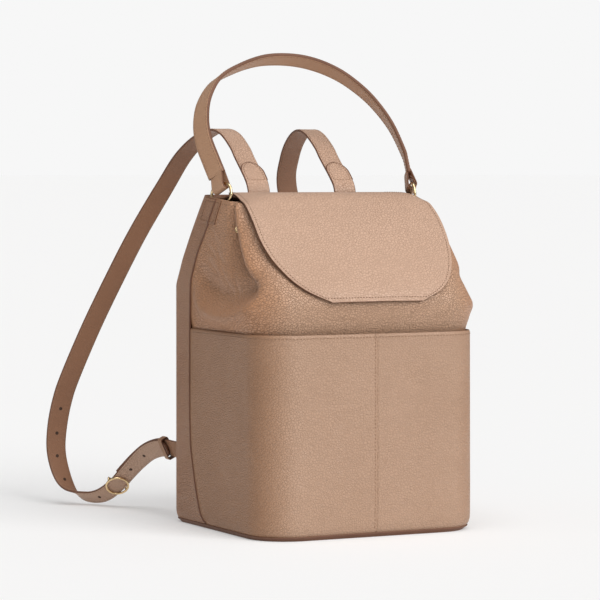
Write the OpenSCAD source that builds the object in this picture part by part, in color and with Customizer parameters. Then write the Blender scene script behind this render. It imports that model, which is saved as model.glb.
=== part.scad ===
// Leather backpack with a fold-over flap, a top handle on two rings,
// slip pockets round the front and two looped shoulder straps.
// Origin: centre of the base, on the floor. +X right, +Y towards the back, +Z up.

/* [Body] */
// Width across the sides
body_w = 230; // [216:2:244]
// Depth of the base from front to back
body_d = 198; // [188:2:208]
// Height of the rim at the back edge
body_h = 314; // [300:2:328]
// Radius of the two front corners
corner_r = 38; // [30:1:44]
// Thickness of a leather wall with its backing
wall = 2.2; // [1.8:0.1:2.4]

/* [Pockets] */
// Height of the slip pockets' top edge
pocket_h = 188; // [176:2:192]
// Room between the pocket leather and the body behind it
pocket_gap = 5; // [4.6:0.1:5.2]

/* [Flap] */
// Thickness of the flap's leather
flap_t = 2; // [1.6:0.1:2.2]
// Thickness of the flap's lining
flap_lining_t = 0.8; // [0.6:0.1:1]

/* [Handle] */
// Width of the handle strap
handle_w = 20; // [17:0.5:21]
// Thickness of the handle strap
handle_t = 3.6; // [3:0.1:4]
// How far the handle leans back from upright, in degrees
handle_lean = 28; // [22:1:30]
// Wire radius of the handle rings
ring_wire_r = 1.4; // [1.1:0.1:1.5]

/* [Shoulder straps] */
// Width of a shoulder strap
strap_w = 21.5; // [19:0.5:22]
// Width of its holed end
tail_w = 19; // [17:0.5:19]
// Thickness of a shoulder strap
strap_t = 2.4; // [2:0.1:2.6]
// Distance of each strap from the middle at the top
strap_x = 46.5; // [42:0.5:52]

/* [Hidden] */

leather = "#b3927a";
leather_dark = "#94745c";
gold = "#d8b765";
fabric = "#c9bba6";
board = "#8a7f70";

kx = body_w / 230;            // how much the width differs from the usual bag
ky = body_d / 198;
kz = body_h / 314;
panel_t = 3;                  // thickness of the base panel
fit_gap = 0.2;                // clearance between layers
rim_slope = 0.125;            // the rim falls this much per millimetre towards the front
piping_r = 1.1;
lining_t = 1;
flap_air = 1.2;               // gap between the closed flap and the body
ring_y = 12.5;                 // the handle rings' place along the side rim
ring_z = 306;
ring_x = 102;
ring_rise = 19;               // from a ring's lower bar to its upper bar
ring_span = 27;               // from limb to limb
ring_yaw = 17;                // each ring's outer face turns this much to the front
ring_lean = 15;               // each ring leans back this much
snap_y = -6;                  // the pleat and its snap
snap_z = 283;

// ---- small helpers -------------------------------------------------------

function unit(v) = v / norm(v);
function clamp01(t) = max(0, min(1, t));
function mirror_x(list) = [for (p = list) [-p[0], p[1], p[2]]];
function place(p) = [p[0] * kx, p[1] * ky, p[2] * kz];

// Catmull-Rom point between p[i] and p[i + 1]
function spline_point(p, i, t) =
    let (a = p[max(i - 1, 0)], b = p[i], c = p[i + 1], d = p[min(i + 2, len(p) - 1)])
    0.5 * (2 * b + (c - a) * t + (2 * a - 5 * b + 4 * c - d) * t * t
        + (3 * b - 3 * c + d - a) * t * t * t);
function curve(p, n) = [
    for (i = [0 : len(p) - 2]) for (k = [0 : n - 1]) spline_point(p, i, k / n),
    p[len(p) - 1]
];

// Closed skin over equal rings of points, each ring counter-clockwise about the way ahead
module skin(rings) {
    n = len(rings[0]);
    last = len(rings) - 1;
    polyhedron(
        points = [for (r = rings) for (p = r) p],
        faces = concat(
            [[for (j = [0 : n - 1]) j]],
            [for (i = [0 : last - 1]) for (j = [0 : n - 1]) each [
                [i * n + j, (i + 1) * n + j, (i + 1) * n + (j + 1) % n],
                [i * n + j, (i + 1) * n + (j + 1) % n, i * n + (j + 1) % n]
            ]],
            [[for (j = [n - 1 : -1 : 0]) last * n + j]]
        )
    );
}

function ahead(p, i) = unit(p[min(i + 1, len(p) - 1)] - p[max(i - 1, 0)]);
function across(p, i, hint) = let (t = ahead(p, i)) unit(hint - (hint * t) * t);

// Flat band along points p, its width near the hints, moved off the line by shift
module band(p, hints, widths, thick, shift = 0) {
    skin([for (i = [0 : len(p) - 1])
        let (w = across(p, i, hints[i]), n = cross(ahead(p, i), w), c = p[i] + n * shift)
        [for (s = [[-1, -1], [1, -1], [1, 1], [-1, 1]])
            c + w * s[0] * widths[i] / 2 + n * s[1] * thick / 2]]);
}

// Round cord along points p
module rod(p, r, sides = 8) {
    skin([for (i = [0 : len(p) - 1])
        let (w = across(p, i, [1, 0.01, 0.02]), n = cross(ahead(p, i), w))
        [for (k = [0 : sides - 1])
            p[i] + r * (cos(k * 360 / sides) * w + sin(k * 360 / sides) * n)]]);
}

// ---- shape of the body ---------------------------------------------------

// Flap from hinge to straight edge: y, height and half width of its outer face
flap_line = [
    [37, 317, 84], [21, 317.2, 90], [2, 317.2, 94], [-13, 316.6, 96],
    [-25, 311.5, 97.5], [-36, 302, 98.5], [-49, 290, 99], [-62, 275, 98.5],
    [-75, 260, 95], [-86, 248, 89], [-96, 236.5, 80], [-103, 227, 67], [-107, 218, 47]
];
ridge = 3;                                   // the flap folds at this point of the line

function flap_normal(i) =
    let (t = ahead([for (p = flap_line) [p[0], p[1]]], i)) [t[1], -t[0]];
// Front of the body: it keeps the flap's slope, one flap thickness and a gap below it
body_under_flap = [
    for (i = [len(flap_line) - 1 : -1 : ridge])
        let (n = flap_normal(i), d = flap_t + flap_lining_t + flap_air)
        [flap_line[i][1] - n[1] * d, flap_line[i][0] - n[0] * d]
];
front_list = concat(
    [[0, -98.5], [3, -101], [9, -104], [30, -104.5], [190, -104.5], [204, -104.2]],
    body_under_flap
);
rear_list = [[0, 95.5], [3, 97.5], [9, 99], [229, 99], [250, 88], [272, 72.5], [313, 39]];
rear_half = [[0, 111], [3, 113.2], [9, 115], [229, 115], [313, 112]];
front_half = [[0, 111], [3, 113.2], [9, 115], [190, 115], [230, 112], [260, 107.5],
    [290, 103.5], [313, 100.5]];
front_corner = [[0, 1], [190, 1.05], [230, 0.9], [260, 0.62], [290, 0.36], [313, 0.24]];
rear_corner = [[0, 11], [229, 12], [313, 7]];
// Side seam: height, y
seam_list = [[0, 13], [3, 25], [14, 36], [30, 43], [44, 48], [75, 57], [110, 59],
    [235, 59], [258, 51], [286, 34], [320, 22]];
stations = [3.2, 5, 9, 20, 44, 75, 188, 198, 208, 218, 227, 236, 245, 255, 265, 275, 285,
    296, 308];

// The pleat pulls each side in near snap_y, more and more towards the rim
function pleat(y, z) = 6 * exp(-pow((y - snap_y) / 5.5, 2)) * clamp01((z - 238) / 46);

// One level ring round the body: arcs at the corners, extra points along the sides
function body_ring(z, inset, extra, lift) =
    let (
        yr = lookup(z, rear_list) * ky - inset,
        yf = lookup(z, front_list) * ky + inset + extra,
        wr = lookup(z, rear_half) * kx - inset,
        wf = lookup(z, front_half) * kx - inset,
        rf = max(corner_r * lookup(z, front_corner) - inset, 1.5),
        rr = max(lookup(z, rear_corner) - inset, 1.5),
        steps = 6,
        side = [for (k = [1 : 8]) k / 9],
        right = concat(
            [for (k = [0 : steps]) let (a = -90 + 90 * k / steps)
                [wf - rf + rf * cos(a), yf + rf + rf * sin(a)]],
            [for (t = side) [wf + (wr - wf) * t, yf + rf + (yr - rr - yf - rf) * t]],
            [for (k = [0 : steps]) let (a = 90 * k / steps)
                [wr - rr + rr * cos(a), yr - rr + rr * sin(a)]]
        ),
        all = concat(right, [for (k = [len(right) - 1 : -1 : 0]) [-right[k][0], right[k][1]]]),
        tilt = rim_slope * clamp01((z - 245) / 63)
    )
    [for (p = all) [
        p[0] - sign(p[0]) * (abs(p[0]) > 60 ? pleat(p[1], z) : 0),
        p[1],
        (z + tilt * (p[1] - snap_y)) * kz + lift
    ]];

module body_solid(levels, insets, extras, under = 0, over = 0) {
    last = len(levels) - 1;
    skin([for (i = [0 : last])
        body_ring(levels[i], lookup(levels[i], insets), lookup(levels[i], extras),
            i == 0 ? -under : (i == last ? over : 0))]);
}

module body_shell(levels, insets, extras, thick) {
    difference() {
        body_solid(levels, insets, extras);
        body_solid(levels, [for (p = insets) [p[0], p[1] + thick]], extras, 1, 1);
    }
}

function seam_y(z) = lookup(z / kz, seam_list) * ky;
// Half width of the body's outer face at a height and y
function side_x(y, z) =
    let (yr = lookup(z, rear_list), yf = lookup(z, front_list),
        rf = corner_r * lookup(z, front_corner), rr = lookup(z, rear_corner),
        t = (y - yf - rf) / (yr - rr - yf - rf))
    (lookup(z, front_half) + (lookup(z, rear_half) - lookup(z, front_half)) * t) * kx
        - pleat(y, z);

// Everything in front of the side seams, or behind them
module seam_side(front = true) {
    far = front ? -300 : 300;
    gap = front ? -0.15 : 0.15;
    rotate([90, 0, 90])
        linear_extrude(2 * body_w, center = true)
            polygon(concat([[far, -5]],
                [for (p = seam_list) [p[1] * ky + gap, p[0] * kz - (p[0] == 0 ? 5 : 0)]],
                [[seam_list[len(seam_list) - 1][1] * ky, 400], [far, 400]]));
}

function seam_line(side) = [
    for (z = [6, 14, 24, 34, 44, 60, 75, 110, 160, 210, 235, 246, 258, 272, 285])
        let (y = lookup(z, seam_list)) [side * (side_x(y, z) - 0.2), y * ky, z * kz]
];

module seam_groove() {
    for (side = [-1, 1]) rod(seam_line(side), piping_r + 0.25, 6);
}

wrap_insets = [[0, wall + 0.2], [pocket_h, wall + 0.2], [pocket_h + 10, 0.8], [260, 0]];
wrap_extras = [[0, 0.4], [6, 0.4], [22, pocket_gap], [188, pocket_gap], [210, 1.5], [222, 0]];
lining_insets = [[0, 7], [226, 7], [262, 4.6], [320, 4.4]];
lining_extras = [[0, 2.5], [160, 2.5], [184, 4.2], [214, 4.2], [240, 0.6]];
none = [[0, 0], [400, 0]];

module base_panel() {
    color(leather_dark) body_solid([0, 1.2, 3], none, none);
}

module base_board() {
    color(board) translate([0, 0, panel_t])
        linear_extrude(1.8)
            offset(r = 20) square([body_w - 57, body_d - 59], center = true);
}

module front_wrap() {
    color(leather) difference() {
        intersection() {
            body_shell(stations, wrap_insets, wrap_extras, wall);
            seam_side(true);
        }
        seam_groove();
    }
}

module back_wrap() {
    color(leather) difference() {
        intersection() {
            body_shell(stations, none, none, wall);
            seam_side(false);
        }
        seam_groove();
    }
}

module back_padding() {
    color(board) translate([0, body_d / 2 - wall - fit_gap - 2, 116 * kz])
        cube([body_w - 46, 4, 216 * kz], center = true);
}

module pocket(side) {
    levels = [3.2, 5, 9, 20, 44, 75, pocket_h / kz];
    color(leather) difference() {
        intersection() {
            body_shell(levels, none, none, wall);
            seam_side(true);
            translate([side > 0 ? 0.05 : -body_w, -body_d, -1]) cube([body_w - 0.05, 2 * body_d, 300]);
        }
        seam_groove();
    }
}

module side_piping(side) {
    color(leather_dark) rod(seam_line(side), piping_r, 8);
}

// Leather band inside the rim, in two lengths that leave room for the handle rings
module rim_facing() {
    low_z = 286;
    high_z = 305;
    rings = [
        body_ring(low_z, wall + 5.1, 0, 0), body_ring(high_z, wall + 4.3, 0, 0),
        body_ring(high_z, wall + 3.3, 0, 0), body_ring(low_z, wall + 4.1, 0, 0)
    ];
    line = rings[0];
    n = len(line);
    back = [for (i = [0 : n - 1]) if (line[i][1] > ring_y + 24) i];
    front = concat(
        [for (i = [n / 2 : n - 1]) if (line[i][1] < ring_y - 28) i],
        [for (i = [0 : n / 2 - 1]) if (line[i][1] < ring_y - 28) i]
    );
    color(leather) for (run = [back, front])
        skin([for (i = run) [for (r = rings) r[i]]]);
}

// One closed skin: up the outside, over the mouth's edge and down the inside
module lining() {
    levels = [5.2, 20, 188, 226, 240, 255, 270, 280];
    inner = [280, 270, 255, 240, 226, 188, 20, 6.4];
    color(fabric) skin(concat(
        [for (z = levels) body_ring(z, lookup(z, lining_insets), lookup(z, lining_extras), 0)],
        [for (z = inner) body_ring(z, lookup(z, lining_insets) + lining_t, lookup(z, lining_extras), 0)]
    ));
}

module laptop_sleeve() {
    sleeve_w = body_w - 44;
    back_y = body_d / 2 - 8.8;
    color(fabric) difference() {
        translate([-sleeve_w / 2, back_y - 19, 7 * kz]) cube([sleeve_w, 19, 205 * kz]);
        translate([-sleeve_w / 2 + 1.2, back_y - 17.8, 8.4 * kz]) cube([sleeve_w - 2.4, 20, 220 * kz]);
    }
}

module side_patch(side) {
    color(leather) intersection() {
        body_shell([286, 292, 300, 306], [[0, -1.5], [400, -1.5]], none, 1.4);
        translate([side > 0 ? 60 : -160, 14, 280]) cube([100, 19, 60]);
    }
}

// ---- handle rings and their tabs ----------------------------------------

// Closed wire with rounded corners in the XZ plane, lower bar on the X axis
module wire_frame(w, h, bend, r) {
    for (s = [-1, 1]) {
        translate([s * w / 2, 0, bend]) cylinder(h = h - 2 * bend, r = r, $fn = 16);
        translate([-(w / 2 - bend), 0, s > 0 ? h : 0])
            rotate([0, 90, 0]) cylinder(h = w - 2 * bend, r = r, $fn = 16);
        for (top = [0, 1])
            translate([s * (w / 2 - bend), 0, top ? h - bend : bend])
                rotate([90, s > 0 ? (top ? 0 : 90) : (top ? -90 : 180), 0])
                    rotate_extrude(angle = 90, $fn = 32) translate([bend, 0]) circle(r = r, $fn = 16);
    }
}

// The ring leans back about its own lower bar
module handle_ring(side) {
    color(gold) translate([side * ring_x * kx, ring_y, ring_z * kz])
        rotate([-ring_lean, 0, 0]) rotate([0, 0, side * (90 - ring_yaw)])
            wire_frame(ring_span, ring_rise, 6, ring_wire_r);
}

module ring_tab(side) {
    color(leather) translate([side * (ring_x - 0.4) * kx, ring_y, ring_z * kz])
        rotate([0, 0, -side * ring_yaw]) difference() {
            union() {
                translate([0, 0, 1]) cube([5, 8, 12], center = true);
                translate([0, 0, -9]) cube([2.4, 14, 10], center = true);
            }
            cube([3.8, 9, 9], center = true);
        }
}

// ---- snaps and magnets ---------------------------------------------------

module gusset_snap(side) {
    valley = side_x(snap_y, snap_z) - 0.3;
    color(gold) translate([side * valley, snap_y, snap_z * kz - 0.4]) rotate([0, side * 90, 0]) {
        cylinder(h = 2.8, r = 1.2, $fn = 32);
        translate([0, 0, 2.4]) cylinder(h = 1.2, r = 3.4, $fn = 48);
    }
}

magnet_at = 10;                              // the point of flap_line over the magnet
module on_flap(depth) {
    n = flap_normal(magnet_at);
    p = flap_line[magnet_at];
    translate([0, (p[0] - n[0] * depth) * ky, (p[1] - n[1] * depth) * kz])
        rotate([atan2(-n[0], n[1]), 0, 0]) children();
}

module flap_magnet() {
    color(gold) on_flap(flap_t + flap_lining_t + 0.2) cylinder(h = flap_lining_t, r = 7, $fn = 48);
}

module body_magnet() {
    color(gold) on_flap(flap_t + flap_lining_t + flap_air + 0.1) cylinder(h = 0.6, r = 7, $fn = 48);
}

// ---- flap ----------------------------------------------------------------

// Points of the flap's outer face from one point of the line to another
function flap_points(from, to, n) =
    let (all = curve(flap_line, n)) [for (i = [from * n : to * n]) all[i]];

// A sheet of the flap between two depths under its outer face
module flap_sheet(from, to, top, bottom, trim = 0) {
    p = flap_points(from, to, 3);
    skin([for (i = [0 : len(p) - 1])
        let (t = ahead([for (q = p) [q[0], q[1]]], i), n = [t[1], -t[0]], h = p[i][2] - trim,
            a = [p[i][0] - n[0] * top, p[i][1] - n[1] * top],
            b = [p[i][0] - n[0] * bottom, p[i][1] - n[1] * bottom])
        [place([-h, a[0], a[1]]), place([-h, b[0], b[1]]),
            place([h, b[0], b[1]]), place([h, a[0], a[1]])]]);
}

module flap_top() {
    color(leather) flap_sheet(0, ridge, 0, flap_t + flap_lining_t);
}

module flap_front() {
    color(leather) difference() {
        flap_sheet(ridge, len(flap_line) - 1, 0, flap_t - 0.02);
        translate([-150, flap_line[ridge][0] * ky - 0.3, 250]) cube([300, 60, 100]);
    }
}

module flap_lining() {
    color(fabric) difference() {
        flap_sheet(ridge, len(flap_line) - 1, flap_t, flap_t + flap_lining_t, 1);
        translate([-150, flap_line[ridge][0] * ky - 0.3, 250]) cube([300, 60, 100]);
        on_flap(flap_t + 3) cylinder(h = 6, r = 7.4, $fn = 48);
    }
}

// ---- handle --------------------------------------------------------------

// The handle's middle line, seen square on: distance from the middle, height over the rings' upper bars
handle_line = [
    [-103.5, 14], [-106, 26], [-109, 48], [-106.5, 70], [-98, 92], [-81, 113], [-55, 127],
    [-29, 135.5], [-4, 137.5], [19, 135], [41, 127.5], [61, 115], [81, 94], [96, 66],
    [103, 36], [103.5, 24], [103, 14]
];

module handle_frame() {
    translate([0, ring_y + ring_rise * sin(ring_lean), ring_z * kz + ring_rise * cos(ring_lean)])
        rotate([-handle_lean, 0, 0]) children();
}

module top_handle() {
    p = curve([for (q = handle_line) [q[0] * kx, 0, q[1]]], 3);
    last = len(p) - 1;
    color(leather) handle_frame()
        band(p, [for (i = [0 : last]) [-0.5 * cos(180 * i / last), 1, 0]],
            [for (q = p) handle_w], handle_t);
}

// The strap's end folded round the ring: an open drop seen from the front
module handle_loop(side) {
    color(leather) handle_frame()
        translate([side * ring_x * kx, 0, 0]) rotate([0, 0, -side * ring_yaw]) rotate([90, 0, 0])
            difference() {
                linear_extrude(handle_w - 1, center = true) loop_outline(1.5);
                linear_extrude(handle_w + 1, center = true) loop_outline(0);
            }
}

module loop_outline(grow) {
    hull() {
        translate([0, -2.4]) circle(r = 3.4 + grow, $fn = 32);
        translate([0, 12]) circle(r = 1.2 + grow * 0.5, $fn = 24);
    }
}

// ---- shoulder straps -----------------------------------------------------

// Middle line of the left strap from the back panel over the top, down to the floor and back
strap_line = [
    [-46.5, 66.8, 289], [-46.5, 58.3, 302], [-46.5, 51.3, 313], [-46.5, 52.3, 321.5],
    [-46.2, 60, 331], [-46, 81.5, 350], [-46.2, 93, 361], [-47, 114, 374],
    [-50, 136, 377.5], [-56, 162, 369], [-63, 188, 351], [-71, 212, 323], [-92, 234, 275],
    [-112, 251, 226], [-131, 265, 178], [-149, 276, 129], [-156, 280, 105],
    [-160.5, 282, 80], [-162.5, 281, 56], [-160, 277, 35.5], [-155, 271, 20.5], [-147, 263, 11.5],
    [-136, 253, 8], [-128, 238, 12], [-120, 223, 23.5], [-114, 211, 36], [-109, 197, 48],
    [-105.5, 179, 58.5], [-103.5, 157, 64.5], [-102.5, 139, 65]
];
// The way the strap's width points at each of those points
strap_across = [
    [1, 0, 0], [1, 0, 0], [1, 0, 0], [1, 0, 0], [1, 0, 0], [1, 0, 0], [1, 0, 0],
    [1, 0, 0], [1, 0, 0], [1, 0, 0], [1, 0, 0], [1, 0, 0], [1, 0, 0],
    [1, 0, 0], [1, 0, 0], [1, 0, -0.05], [1, 0, -0.1],
    [1, 0, -0.15], [1, 0, -0.2], [1, 0, -0.3], [0.95, 0.05, -0.4], [0.85, 0.1, -0.5],
    [0.78, 0.18, -0.58], [0.72, 0.25, -0.64], [0.68, 0.3, -0.67], [0.66, 0.3, -0.7],
    [0.62, 0.28, -0.74], [0.55, 0.2, -0.8], [0.48, 0.1, -0.87], [0.42, 0, -0.9]
];
strap_steps = 3;
strap_points = [for (p = curve(strap_line, strap_steps)) place([p[0] + 46.5 - strap_x, p[1], p[2]])];
strap_hints = curve(strap_across, strap_steps);
hole_at = [16.33, 17.33, 18.33, 19.67, 22.67, 25.33, 26.67];   // places along the line
buckle_at = 24;
keeper_at = 28.67;

// Full width to the lowest stretch, then the narrower holed end
function strap_width(i) = strap_w + (tail_w - strap_w) * clamp01((i / strap_steps - 17) / 4);
function strap_part(from, to) = [for (i = [from * strap_steps : to * strap_steps]) i];
function strap_on(side, p) = side < 0 ? p : [-p[0], p[1], p[2]];

// Puts children at a place on the left strap: X across, Y along, Z out of its inner face
module on_strap(at) {
    i = round(at * strap_steps);
    w = across(strap_points, i, strap_hints[i]);
    t = ahead(strap_points, i);
    n = cross(w, t);
    p = strap_points[i];
    multmatrix([
        [w[0], t[0], n[0], p[0]],
        [w[1], t[1], n[1], p[1]],
        [w[2], t[2], n[2], p[2]],
        [0, 0, 0, 1]
    ]) children();
}

module each_side(side) {
    if (side < 0) children();
    else mirror([1, 0, 0]) children();
}

module shoulder_strap(side) {
    run = strap_part(0, len(strap_line) - 1);
    last = len(run) - 1;
    color(leather) each_side(side) difference() {
        band([for (i = run) strap_points[i]], [for (i = run) strap_hints[i]],
            [for (i = run) strap_width(i) - (i == last ? 8 : (i == last - 1 ? 3 : 0))], strap_t);
        for (at = hole_at) on_strap(at) cylinder(h = 3 * strap_t, r = 1.4, center = true, $fn = 24);
    }
}

// Two plies sewn round the strap's upper end; the outer one ends in a tongue
module strap_tab(side) {
    inner = strap_part(0, 2);
    outer = strap_part(0, 6);
    last = len(outer) - 1;
    off = strap_t / 2 + 0.85;
    color(leather) each_side(side) {
        band([for (i = inner) strap_points[i]], [for (i = inner) strap_hints[i]],
            [for (i = inner) strap_w + 2], 1.5, off);
        band([for (i = outer) strap_points[i]], [for (i = outer) strap_hints[i]],
            [for (i = outer) (strap_w + 2) * (i > last - 3 ? [0.98, 0.86, 0.5][i - last + 2] : 1)],
            1.5, -off);
    }
}

// The short strap sewn to the back panel that carries the buckle
module lower_strap(side) {
    run = [for (i = [buckle_at * strap_steps + 2 : (len(strap_line) - 1) * strap_steps]) i];
    p = concat([for (i = run) strap_points[i]], [place([-101.5, 126, 64.5]), place([-101, 114, 64])]);
    h = concat([for (i = run) strap_hints[i]], [[0.38, 0, -0.92], [0.34, 0, -0.94]]);
    color(leather_dark) each_side(side)
        band(p, h, [for (q = p) tail_w], 1.8, strap_t / 2 + 1.9);
}

module lower_tab(side) {
    color(leather) each_side(side)
        translate([-97.6 * kx, body_d / 2 + 0.05, 64.5 * kz]) rotate([0, -17, 0])
            translate([-3.5, 0, -tail_w / 2]) cube([7, 13, tail_w]);
}

module strap_keeper(side) {
    color(leather_dark) each_side(side) on_strap(keeper_at) translate([0, 0, -1.6]) difference() {
        cube([tail_w + 5, 10, strap_t + 9.2], center = true);
        cube([tail_w + 2, 11, strap_t + 6], center = true);
    }
}

// Round buckle: the ring lies on the strap's outer face, its bar runs behind the strap
module buckle(side) {
    ring_r = tail_w / 2 + 1.4;
    r = 1.1;
    above = strap_t / 2 + 0.3 + r;
    color(gold) each_side(side) on_strap(buckle_at) {
        translate([0, 0, above]) rotate_extrude($fn = 48) translate([ring_r, 0]) circle(r = r, $fn = 16);
        for (s = [-1, 1])
            translate([s * ring_r, 0, -above]) cylinder(h = 2 * above, r = r * 0.9, $fn = 24);
        translate([-ring_r, 0, -above]) rotate([0, 90, 0]) cylinder(h = 2 * ring_r, r = r * 0.9, $fn = 24);
    }
}

base_panel();
base_board();
front_wrap();
back_wrap();
back_padding();
pocket(-1);  // pocket_left
pocket(1);  // pocket_right
side_piping(-1);  // side_piping_left
side_piping(1);  // side_piping_right
rim_facing();
lining();
laptop_sleeve();
side_patch(-1);  // side_patch_left
side_patch(1);  // side_patch_right
ring_tab(-1);  // ring_tab_left
ring_tab(1);  // ring_tab_right
gusset_snap(-1);  // gusset_snap_left
gusset_snap(1);  // gusset_snap_right
body_magnet();
flap_top();
flap_front();
flap_lining();
flap_magnet();
top_handle();
handle_loop(-1);  // handle_loop_left
handle_loop(1);  // handle_loop_right
handle_ring(-1);  // handle_ring_left
handle_ring(1);  // handle_ring_right
strap_tab(-1);  // strap_tab_left
strap_tab(1);  // strap_tab_right
shoulder_strap(-1);  // shoulder_strap_left
shoulder_strap(1);  // shoulder_strap_right
lower_strap(-1);  // lower_strap_left
lower_strap(1);  // lower_strap_right
lower_tab(-1);  // lower_tab_left
lower_tab(1);  // lower_tab_right
strap_keeper(-1);  // strap_keeper_left
strap_keeper(1);  // strap_keeper_right
buckle(-1);  // buckle_left
buckle(1);  // buckle_right
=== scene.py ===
import bpy
import numpy as np
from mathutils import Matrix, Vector


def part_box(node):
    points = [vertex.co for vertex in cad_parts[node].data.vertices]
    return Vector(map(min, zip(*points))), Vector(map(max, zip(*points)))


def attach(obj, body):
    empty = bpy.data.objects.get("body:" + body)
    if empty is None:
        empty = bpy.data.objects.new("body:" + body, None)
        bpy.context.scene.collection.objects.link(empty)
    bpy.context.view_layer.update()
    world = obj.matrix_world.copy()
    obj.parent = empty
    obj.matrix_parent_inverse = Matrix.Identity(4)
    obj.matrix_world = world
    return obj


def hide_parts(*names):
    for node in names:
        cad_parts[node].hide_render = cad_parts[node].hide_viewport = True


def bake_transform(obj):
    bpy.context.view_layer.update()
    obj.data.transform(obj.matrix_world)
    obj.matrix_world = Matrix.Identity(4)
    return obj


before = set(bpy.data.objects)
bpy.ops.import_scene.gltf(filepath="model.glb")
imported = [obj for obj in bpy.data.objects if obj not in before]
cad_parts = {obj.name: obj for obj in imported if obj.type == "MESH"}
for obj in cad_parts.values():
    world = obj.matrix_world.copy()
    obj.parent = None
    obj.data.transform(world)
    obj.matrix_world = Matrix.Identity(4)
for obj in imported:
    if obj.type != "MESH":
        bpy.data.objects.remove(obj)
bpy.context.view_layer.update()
scene = bpy.context.scene
mm = 0.001
insideMiddle = (0, 0, 150)                             # in millimetres, as all shapes are
bothSides = ((-1, "left"), (1, "right"))

view = {"place": (-1.2513, -2.4236, 0.33535), "turn": 26.8, "tip": 2.53, "lens": 172.3}


def makeCamera():
    # a long lens looking along its turn and tip, in degrees
    turn, tip = np.radians(view["turn"]), np.radians(view["tip"])
    look = Vector((np.sin(turn) * np.cos(tip), np.cos(turn) * np.cos(tip), -np.sin(tip)))
    data = bpy.data.cameras.new("camera")
    data.lens, data.sensor_width, data.clip_end = view["lens"], 36, 900
    cam = bpy.data.objects.new("camera", data)
    cam.location = view["place"]
    cam.rotation_euler = look.to_track_quat("-Z", "Y").to_euler()
    scene.collection.objects.link(cam)
    scene.camera = cam


makeCamera()
print("camera ready")


def addMesh(name, points, faces, materials, faceSlots=None, smooth=True):
    # points are in millimetres; faces is a list of index lists
    data = bpy.data.meshes.new(name)
    data.from_pydata((np.asarray(points) * mm).tolist(), [], faces)
    obj = bpy.data.objects.new(name, data)
    scene.collection.objects.link(obj)
    for m in materials:
        data.materials.append(m)
    if faceSlots is not None:
        data.polygons.foreach_set("material_index", np.asarray(faceSlots, dtype=np.int32))
    data.polygons.foreach_set("use_smooth", np.full(len(data.polygons), smooth))
    data.update()
    return obj


def gridFaces(rows, cols, wrapRows=False, wrapCols=False):
    # quads between neighbouring points of a rows x cols grid
    i = np.arange(rows if wrapRows else rows - 1)[:, None]
    j = np.arange(cols if wrapCols else cols - 1)[None, :]
    i2, j2 = (i + 1) % rows, (j + 1) % cols
    quads = np.stack([i * cols + j, i * cols + j2, i2 * cols + j2, i2 * cols + j], axis=-1)
    return quads.reshape(-1, 4)


def faceAway(points, quads, middle):
    # turns the quads over if most of them look towards middle
    p = points[quads]
    n = np.cross(p[:, 2] - p[:, 0], p[:, 3] - p[:, 1])
    out = np.einsum("ij,ij->i", n, p.mean(axis=1) - np.asarray(middle))
    return quads if out.sum() > 0 else quads[:, ::-1]


def sheetPiece(name, points, materials, thick, middle):
    # a grid of points (rows, cols, 3) given a thickness; its cut edge takes the second material
    rows, cols = points.shape[:2]
    flat = points.reshape(-1, 3)
    quads = faceAway(flat, gridFaces(rows, cols), middle)
    obj = addMesh(name, flat, quads.tolist(), materials)
    wall = obj.modifiers.new("wall", "SOLIDIFY")
    wall.thickness = thick * mm
    wall.offset = -1
    wall.use_even_offset = False
    wall.material_offset_rim = 1 if len(materials) > 1 else 0
    return obj


def unit(v):
    # each vector over its own length
    return v / np.maximum(np.linalg.norm(v, axis=-1, keepdims=True), 1e-9)


def smoothLine(points, steps):
    # Catmull-Rom line through the points
    p = np.asarray(points, float)
    n = len(p)
    i = np.repeat(np.arange(n - 1), steps)
    t = np.tile(np.arange(steps) / steps, n - 1)[:, None]
    a, b, c, d = p[np.maximum(i - 1, 0)], p[i], p[i + 1], p[np.minimum(i + 2, n - 1)]
    line = 0.5 * (2 * b + (c - a) * t + (2 * a - 5 * b + 4 * c - d) * t ** 2
                  + (3 * b - 3 * c + d - a) * t ** 3)
    return np.vstack([line, p[-1:]])


def frames(path, hints, closed=False):
    # way ahead, way across (near the hints) and the normal, for every point of the path
    if closed:
        ahead = unit(np.roll(path, -1, axis=0) - np.roll(path, 1, axis=0))
    else:
        ahead = unit(np.gradient(path, axis=0))
    across = unit(hints - np.sum(hints * ahead, axis=1, keepdims=True) * ahead)
    return ahead, across, np.cross(ahead, across)


def strapProfile():
    # unit outline of a strap's cut: across -0.5..0.5, thickness -0.5..0.5, corners rounded
    a = np.array([-0.5, -0.49, -0.465, -0.42, -0.25, 0, 0.25, 0.42, 0.465, 0.49, 0.5])
    edge = np.array([0.0, 0.3, 0.45, 0.5, 0.5, 0.5, 0.5, 0.5, 0.45, 0.3, 0.0])
    top = np.stack([a, edge], axis=1)
    low = np.stack([a[::-1], -edge[::-1]], axis=1)[1:-1]
    return np.vstack([top, low])


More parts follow.
